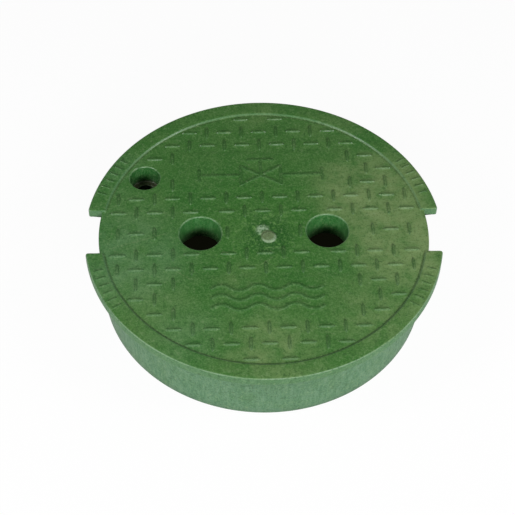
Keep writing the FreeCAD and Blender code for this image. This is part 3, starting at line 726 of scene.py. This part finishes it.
# Node tree with short calls: each call makes a node, or a small group of them, and gives back its output
class Nodes:
    # Start: keeps the tree that the calls add to
    def __init__(self, tree):
        self.tree = tree

    # Node maker: a node of this kind with its settings, plain inputs set and sockets linked
    def put(self, kind, inputs=(), **settings):
        made = self.tree.nodes.new(kind)
        for name, value in settings.items():
            setattr(made, name, value)
        for key, value in dict(inputs).items():
            if isinstance(value, bpy.types.NodeSocket):
                self.tree.links.new(value, made.inputs[key])
            else:
                made.inputs[key].default_value = value
        return made

    # Arithmetic: one operation on two values
    def calc(self, operation, a, b=0.0, clamp=False):
        return self.put("ShaderNodeMath", {0: a, 1: b}, operation=operation, use_clamp=clamp).outputs[0]

    # Product of values, from the first to the last
    def times(self, *values):
        made = values[0]
        for value in values[1:]:
            made = self.calc("MULTIPLY", made, value)
        return made

    # Vector arithmetic: one operation on two vectors
    def vector(self, operation, a, b=(0, 0, 0), output=0):
        return self.put("ShaderNodeVectorMath", {0: a, 1: b}, operation=operation).outputs[output]

    # Smooth step of a value: from bottom at low to top at high
    def ramp(self, value, low, high, bottom=0.0, top=1.0):
        inputs = {"Value": value, "From Min": low, "From Max": high, "To Min": bottom, "To Max": top}
        return self.put("ShaderNodeMapRange", inputs, interpolation_type="SMOOTHSTEP").outputs["Result"]

    # Noise value: fractal noise of a place, with grains about 1 / scale metres across
    def noise(self, place, scale, detail=2.0, rough=0.5, warp=0.0):
        inputs = {"Vector": place, "Scale": scale, "Detail": detail, "Roughness": rough, "Distortion": warp}
        return self.put("ShaderNodeTexNoise", inputs).outputs["Fac"]

    # Colour mix: a + share * (b - a), where a and b are sockets or names of the plastic's colours
    def tint(self, share, a, b):
        a, b = ((*plastic[c], 1) if isinstance(c, str) else c for c in (a, b))
        return self.put("ShaderNodeMix", {0: share, 6: a, 7: b}, data_type="RGBA").outputs[2]

    # Soft round patch: 1 inside, falling to 0 over the soft edge, by distance from a centre in millimetres
    def patch(self, x, y, inside, outside):
        flat = self.vector("MULTIPLY", self.vector("ADD", self.place, (-x * mm, -y * mm, 0)), (1, 1, 0))
        return self.ramp(self.vector("LENGTH", flat, output="Value"), outside * mm, inside * mm)

    # Scratch: 1 within half a width of a segment's line, faded at its ends, in millimetres
    def scratch(self, ax, ay, bx, by, width):
        length = math.hypot(bx - ax, by - ay)
        c, s = (bx - ax) / length, (by - ay) / length
        shift = self.vector("ADD", self.place, (-ax * mm, -ay * mm, 0))
        along = self.vector("DOT_PRODUCT", shift, (c, s, 0), "Value")
        across = self.vector("DOT_PRODUCT", shift, (-s, c, 0), "Value")
        near = self.ramp(self.calc("ABSOLUTE", across), width * mm, 0.3 * width * mm)
        start = self.ramp(along, 0, 0.15 * length * mm)
        return self.times(near, start, self.ramp(along, length * mm, 0.8 * length * mm))


# Colours of the weathered plastic, some of them painted light or shade: top, gate mark, upright sides, edges,
# holes and specks
plastic = {
    "deep": (0.030, 0.142, 0.019), "fair": (0.046, 0.158, 0.026), "mottled": (0.082, 0.195, 0.042),
    "dust": (0.205, 0.292, 0.112), "bleached": (0.100, 0.245, 0.125), "clean": (0.024, 0.140, 0.008),
    "stirred": (0.092, 0.235, 0.050), "halo": (0.012, 0.092, 0.008), "torn": (0.360, 0.510, 0.330),
    "stub": (0.235, 0.340, 0.200), "core": (0.115, 0.165, 0.066), "sideDeep": (0.058, 0.170, 0.077),
    "sideFair": (0.116, 0.240, 0.132), "sideCloud": (0.066, 0.174, 0.062), "sideFoot": (0.046, 0.104, 0.062),
    "lipFace": (0.056, 0.170, 0.050), "lipEdge": (0.190, 0.310, 0.185), "grime": (0.018, 0.080, 0.014),
    "rimSlope": (0.110, 0.235, 0.120), "rimFoot": (0.036, 0.075, 0.020), "wallDeep": (0.028, 0.164, 0.032),
    "wallFair": (0.078, 0.246, 0.078), "boltWall": (0.016, 0.090, 0.018), "pit": (0.012, 0.035, 0.012),
    "ledge": (0.078, 0.063, 0.038), "shaft": (0.010, 0.012, 0.008), "mouth": (0.190, 0.300, 0.170),
    "pale": (0.200, 0.310, 0.140), "dim": (0.020, 0.080, 0.016), "pepperPale": (0.170, 0.300, 0.120),
    "pepperDim": (0.022, 0.085, 0.018), "scratch": (0.270, 0.350, 0.180),
}
# Patches as x, y, full radius, outer radius and share; scratches from x, y to x, y with a width
dustPatches = [
    (80, 34, 20, 58, 0.9), (100, -14, 16, 52, 0.9), (0, -106, 8, 52, 0.6), (76, -74, 5, 50, 0.45),
    (-92, -44, 5, 48, 0.3), (-70, -82, 5, 45, 0.2), (-90, 12, 5, 40, 0.25), (-20, -40, 2, 26, 0.3),
    (58, 112, 5, 40, 0.25), (0, 124, 4, 30, 0.25), (122, -60, 6, 34, 0.6), (122, 52, 4, 26, 0.5),
]
bleachedPatches = [(-100, -20, 16, 66, 0.4), (-60, -92, 5, 40, 0.25), (-112, 60, 5, 40, 0.25)]
scratches = [
    (-112, -13, -66, 2, 0.9), (66, 12, 114, 21, 0.9), (-6, -32, 8, -22, 0.8), (-6, -24, 9, -34, 0.7),
    (-34, -12, -22, -26, 0.6), (30, -86, 46, -94, 0.6), (-70, -30, -52, -44, 0.6),
]


# Shared patterns: places, slopes and noises that several layers read; reach is the distance from the axis
def patterns(n):
    n.place = n.put("ShaderNodeTexCoord").outputs["Object"]
    normal = n.put("ShaderNodeNewGeometry").outputs["Normal"]
    n.upward = n.put("ShaderNodeSeparateXYZ", {0: normal}).outputs["Z"]
    n.x, n.y, n.z = n.put("ShaderNodeSeparateXYZ", {0: n.place}).outputs
    n.reach = n.vector("LENGTH", n.vector("MULTIPLY", n.place, (1, 1, 0)), output="Value")
    n.facing = n.ramp(n.upward, 0.25, 0.8)
    n.crown = n.put("ShaderNodeAttribute", attribute_name="crown").outputs["Fac"]
    n.blotch = n.noise(n.place, 16, 3, 0.55, 0.4)
    n.cloud = n.noise(n.place, 34, 4, 0.6, 0.5)
    n.mottle = n.noise(n.place, 75, 4, 0.6, 0.3)
    n.swirl = n.noise(n.place, 230, 3, 0.6, 1.2)
    n.streak = n.noise(n.vector("MULTIPLY", n.place, (1, 1, 0.2)), 420, 3, 0.65)
    n.fleck = n.noise(n.place, 420, 3, 0.6)
    n.pepper = n.noise(n.place, 900, 2, 0.6)
    n.grain = n.noise(n.place, 1900, 2, 0.6)


# Top colour: blotched green, then mottle, dusty and bleached patches, and a cleaner stirred middle
def topColour(n):
    top = n.tint(n.ramp(n.blotch, 0.3, 0.7), "deep", "fair")
    top = n.tint(n.ramp(n.mottle, 0.35, 0.75, 0, 0.35), top, "mottled")
    broken = n.ramp(n.mottle, 0.12, 0.75)
    for patches, name in ((dustPatches, "dust"), (bleachedPatches, "bleached")):
        for x, y, inside, outside, share in patches:
            spot = n.times(n.patch(x, y, inside, outside), broken, share)
            top = n.tint(spot, top, name)
    top = n.tint(n.times(n.patch(0, 4, 26, 70), 0.3), top, "clean")
    stirred = n.times(n.ramp(n.swirl, 0.5, 0.66), n.patch(0, -2, 12, 42))
    top = n.tint(stirred, top, "stirred")
    halo = n.times(n.patch(3, -4, 10, 24), n.ramp(n.swirl, 0.66, 0.44), 0.95)
    return n.tint(halo, top, "halo")


# Gate mark colour: a ragged pale pad, and a stub with a browner core set up and to the left, which leaves a
# paler crescent low on the right as a painted highlight
def gateColour(n, top):
    ragged = n.ramp(n.noise(n.place, 560, 3, 0.7), 0.36, 0.54)
    torn = n.times(n.patch(gate["padX"], gate["padY"], 2.5, 6.2), ragged, 0.9)
    top = n.tint(torn, top, "torn")
    top = n.tint(n.patch(gate["stubX"], gate["stubY"], 5.0, 5.9), top, "stub")
    # Browner core, set up and left of the stub's middle: the pale crescent it leaves low on the right is a
    # painted highlight
    core = n.patch(gate["stubX"] - 0.8, gate["stubY"] + 1.5, 4.2, 5.6)
    core = n.times(core, n.ramp(n.swirl, 0.22, 0.5, 0.45, 1), 0.9)
    return n.tint(core, top, "core")


# Side colour: upright streaks and clouds, dull at the foot and greener on the lip's face; lighter and bluer
# than the top, partly cleaner plastic and partly a painted sheen, with the lip's face darker, partly painted
# shade
def sideColour(n):
    # Lighter, bluer upright sides: partly cleaner, less weathered plastic, partly a painted sheen
    side = n.tint(n.ramp(n.streak, 0.32, 0.7), "sideDeep", "sideFair")
    side = n.tint(n.ramp(n.cloud, 0.45, 0.7, 0, 0.55), side, "sideCloud")
    side = n.tint(n.ramp(n.z, 0.007, 0.001, 0, 0.35), side, "sideFoot")
    # Darker, greener lip face: partly weathered like the top, partly painted shade
    return n.tint(n.ramp(n.z, 0.0508, 0.0520, 0, 0.65), side, "lipFace")


# Edge colour: pale lip edge, partly wear and partly a painted highlight; painted shade over the relief; and a
# pale rim slope, a painted highlight, over a dark foot, painted shade in its crease, outside the notches
def edgeColour(n, colour):
    # Pale band on the lip's rounded top edge: partly wear, partly a painted highlight
    edge = n.times(n.ramp(n.upward, 0.2, 0.5), n.ramp(n.upward, 0.97, 0.8),
                   n.ramp(n.reach, 0.127, 0.1285), n.ramp(n.cloud, 0.35, 0.6, 0.3, 0.85))
    colour = n.tint(edge, colour, "lipEdge")
    # Painted shade over the raised relief: lugs, symbol lines and ticks darkened above a fifth of their
    # height
    colour = n.tint(n.ramp(n.crown, 0.0, 0.2, 0, 0.42), colour, "grime")
    across = n.calc("SUBTRACT", n.y, n.times(n.x, math.tan(notch["turn"])))
    rimmed = n.ramp(n.calc("ABSOLUTE", across), 0.0200, 0.0225)
    # Pale rim slope: a painted highlight all round the rim's inner slope
    slope = n.times(n.ramp(n.reach, 0.1168, 0.1172), n.ramp(n.reach, 0.1184, 0.1178), rimmed, 0.4)
    colour = n.tint(slope, colour, "rimSlope")
    # Dark rim foot: painted shade in the crease at the foot of the rim's step
    foot = n.times(n.ramp(n.reach, 0.1154, 0.1162), n.ramp(n.reach, 0.1171, 0.1167), rimmed,
                   n.facing, n.ramp(n.cloud, 0.3, 0.6, 0.3, 0.65))
    return n.tint(foot, colour, "rimFoot")


# Share inside the holes: sum of a patch over each finger hole and the bolt hole, held to 1
def holeShare(n):
    sides = [n.patch(s * finger["x"], 0, finger["r"] + 0.2, finger["r"] + 0.8) for s in (-1, 1)]
    narrow = n.patch(bolt["x"], bolt["y"], bolt["r"] + 0.2, bolt["r"] + 0.7)
    return n.calc("ADD", n.calc("ADD", *sides), narrow, True), narrow


# Hole colour: cleaner walls; painted shade in the bolt hole, lower down and in the near-black bore below the
# ledge; soil on its ledge; and pale mouths, partly wear and partly a painted highlight
def holeColour(n, colour, within, narrow):
    wall = n.tint(n.ramp(n.streak, 0.35, 0.75), "wallDeep", "wallFair")
    colour = n.tint(within, colour, wall)
    # Darker bolt hole wall: painted shade in the recess
    colour = n.tint(n.times(narrow, 0.5), colour, "boltWall")
    # Darker lower down in the holes: painted shade
    deep = n.times(within, n.ramp(n.z, 0.0465, 0.0385), 0.75)
    colour = n.tint(deep, colour, "pit")
    ledge = n.times(n.patch(bolt["x"], bolt["y"], 10.9, 11.3),
                    n.ramp(n.z, 0.0435, 0.0415), n.ramp(n.z, 0.0385, 0.0400), 0.9)
    colour = n.tint(ledge, colour, "ledge")
    # Near-black bore below the ledge: painted shade
    shaft = n.times(n.patch(bolt["x"], bolt["y"], 7.4, 7.9), n.ramp(n.z, 0.0409, 0.0402))
    colour = n.tint(shaft, colour, "shaft")
    # Pale mouths: partly wear, partly a painted highlight on their rounding
    mouths = 0.0
    for x, y, r in holeCircles(finger["r"], bolt["r"]):
        mouths = n.calc("MAXIMUM", mouths, n.patch(x, y, r + 1.6, r + 2.0))
    wearAndHighlight = n.times(mouths, n.ramp(n.upward, 0.15, 0.4), n.ramp(n.upward, 0.99, 0.85),
                   n.ramp(n.fleck, 0.3, 0.65, 0.15, 0.55))
    return n.tint(wearAndHighlight, colour, "mouth")


# Specks: light and dark flecks of 2.4 mm, then of 1.1 mm
def specks(n, colour):
    colour = n.tint(n.ramp(n.fleck, 0.53, 0.76, 0, 0.48), colour, "pale")
    colour = n.tint(n.ramp(n.fleck, 0.48, 0.28, 0, 0.58), colour, "dim")
    colour = n.tint(n.ramp(n.pepper, 0.45, 0.75, 0, 0.42), colour, "pepperPale")
    return n.tint(n.ramp(n.pepper, 0.52, 0.22, 0, 0.52), colour, "pepperDim")


# Roughness: mottled, duller on slopes towards the front, grainy, and smoother inside the holes
def roughness(n, within):
    dulled = n.times(n.ramp(n.upward, 0.97, 0.8), n.ramp(n.y, 0.09, -0.06, -0.1, 0.13))
    rough = n.calc("ADD", n.ramp(n.mottle, 0.3, 0.7, 0.38, 0.48), dulled)
    rough = n.calc("ADD", rough, n.times(n.grain, 0.06))
    return n.calc("SUBTRACT", rough, n.times(within, 0.16))


# Weathered plastic with painted light and shade: top and sides mixed by slope, then edges, holes, specks and
# scratches, with a fine grain
def greenPlastic():
    made = bpy.data.materials.new("green_plastic")
    made.use_nodes = True
    tree = made.node_tree
    shader = tree.nodes["Principled BSDF"]
    n = Nodes(tree)
    patterns(n)
    within, narrow = holeShare(n)
    top = gateColour(n, topColour(n))
    colour = edgeColour(n, n.tint(n.facing, sideColour(n), top))
    colour = specks(n, holeColour(n, colour, within, narrow))
    marks = 0.0
    for line in scratches:
        marks = n.calc("MAXIMUM", marks, n.scratch(*line))
    marks = n.times(marks, n.facing, n.ramp(n.fleck, 0.35, 0.6))
    colour = n.tint(n.times(marks, 0.22), colour, "scratch")
    tree.links.new(colour, shader.inputs["Base Color"])
    tree.links.new(roughness(n, within), shader.inputs["Roughness"])
    shader.inputs["IOR"].default_value = 1.48
    relief = n.calc("ADD", n.times(n.fleck, 0.5), n.times(n.grain, 0.25))
    relief = n.calc("SUBTRACT", relief, n.times(marks, 0.25))
    bump = n.put("ShaderNodeBump", {"Height": relief, "Strength": 0.5, "Distance": 0.0002})
    tree.links.new(bump.outputs[0], shader.inputs["Normal"])
    return made


mesh.materials.append(greenPlastic())
print("stage: material")

# Floor, in metres: a wide disc with a dark inner one below the holes, hidden by the skirt; the dark inner
# disc is painted shade
ground = {"insideR": 0.117, "r": 6.0, "columns": 96, "evenShare": 0.95}
turn = np.arange(ground["columns"]) * tau / ground["columns"]
rings = [stack(r * np.cos(turn), r * np.sin(turn), 0 * turn)
         for r in (ground["insideR"], ground["r"])]
floorFaces = ringFaces(2, ground["columns"]).tolist() + [list(range(ground["columns"]))]
floorMesh = bpy.data.meshes.new("floor")
floorMesh.from_pydata(np.concatenate(rings).tolist(), [], floorFaces)
floor = bpy.data.objects.new("floor", floorMesh)
scene.collection.objects.link(floor)


# White floor: matte under the lamps, mixed with an even white for camera, glossy and clear rays
def floorLook():
    made = bpy.data.materials.new("floor_white")
    made.use_nodes = True
    tree = made.node_tree
    tree.nodes.clear()
    n = Nodes(tree)
    rays = tree.nodes.new("ShaderNodeLightPath")
    seen = n.calc("ADD", rays.outputs["Is Camera Ray"], rays.outputs["Is Glossy Ray"])
    seen = n.calc("ADD", seen, rays.outputs["Is Transmission Ray"], True)
    matte = n.put("ShaderNodeBsdfDiffuse", {"Color": (0.88, 0.88, 0.88, 1)})
    even = n.put("ShaderNodeEmission", {"Color": (1, 1, 1, 1), "Strength": 1.0})
    share = n.times(seen, ground["evenShare"])
    both = n.put("ShaderNodeMixShader", {0: share, 1: matte.outputs[0], 2: even.outputs[0]})
    n.put("ShaderNodeOutputMaterial", {"Surface": both.outputs[0]})
    return made


# Painted shade under the cover: nearly black, with a faint painted glow for the light that reaches in from
# elsewhere
def shadeDisc():
    made = bpy.data.materials.new("painted_shade_disc")
    made.use_nodes = True
    look = {"Base Color": (0.012, 0.011, 0.009, 1), "Roughness": 0.95,
            "Emission Color": (0.0030, 0.0032, 0.0015, 1), "Emission Strength": 1.0}
    for name, value in look.items():
        made.node_tree.nodes["Principled BSDF"].inputs[name].default_value = value
    return made


floorMesh.materials.append(floorLook())
# The inner disc gets the painted shade and its painted glow
floorMesh.materials.append(shadeDisc())
floorMesh.polygons[len(floorFaces) - 1].material_index = 1

# Sky: a weak even light that is white where the camera sees it
skyLevel = 0.14
world = bpy.data.worlds.new("studio")
scene.world = world
world.use_nodes = True
sky = Nodes(world.node_tree)
seen = sky.put("ShaderNodeLightPath").outputs["Is Camera Ray"]
background = world.node_tree.nodes["Background"].inputs
background["Color"].default_value = (1, 1, 1, 1)
world.node_tree.links.new(sky.calc("ADD", sky.times(seen, 1 - skyLevel), skyLevel), background["Strength"])


# Soft lamp: a rectangle at a place, turned so that its light runs to the cover's middle
def softLamp(name, place, wide, deep, watts):
    data = bpy.data.lights.new(name, "AREA")
    data.shape = "RECTANGLE"
    data.size, data.size_y, data.energy = wide, deep, watts
    lamp = bpy.data.objects.new(name, data)
    scene.collection.objects.link(lamp)
    lamp.location = place
    lamp.rotation_euler = (Vector((0, 0, 0.05)) - Vector(place)).to_track_quat("-Z", "Y").to_euler()


softLamp("left", (-0.62, -0.28, 0.56), 0.3, 0.3, 3.3)
softLamp("right", (0.62, -0.28, 0.56), 0.3, 0.3, 3.1)
softLamp("front", (0.12, -1.2, 0.58), 0.6, 0.3, 9.0)
print("stage: floor and lights")

# Camera: from the fit of the tread grid, in lip radii from the cover's axis at the rim's level
shot = {"azimuth": math.radians(-3.40), "elevation": math.radians(51.34), "roll": math.radians(1.33),
        "distance": 8.236, "target": (-0.0443, -0.1885), "level": 0.0578, "lens": 104.57, "sensor": 36}
unit = cover["lipR"] * mm
rise, level = math.sin(shot["elevation"]), math.cos(shot["elevation"])
back = Vector((math.sin(shot["azimuth"]) * level, -math.cos(shot["azimuth"]) * level, rise))
aim = Vector((shot["target"][0] * unit, shot["target"][1] * unit, shot["level"]))
spot = aim + back * shot["distance"] * unit
right = (-back).cross(Vector((0, 0, 1))).normalized()
up = right.cross(-back)
rollRight = right * math.cos(shot["roll"]) + up * math.sin(shot["roll"])
rollUp = up * math.cos(shot["roll"]) - right * math.sin(shot["roll"])
lensData = bpy.data.cameras.new("photo")
lensData.lens, lensData.sensor_width = shot["lens"], shot["sensor"]
camera = bpy.data.objects.new("photo", lensData)
scene.collection.objects.link(camera)
camera.matrix_world = Matrix.Translation(spot) @ Matrix((rollRight, rollUp, back)).transposed().to_4x4()
scene.camera = camera
scene.view_settings.view_transform = "Standard"

print("stage: done")
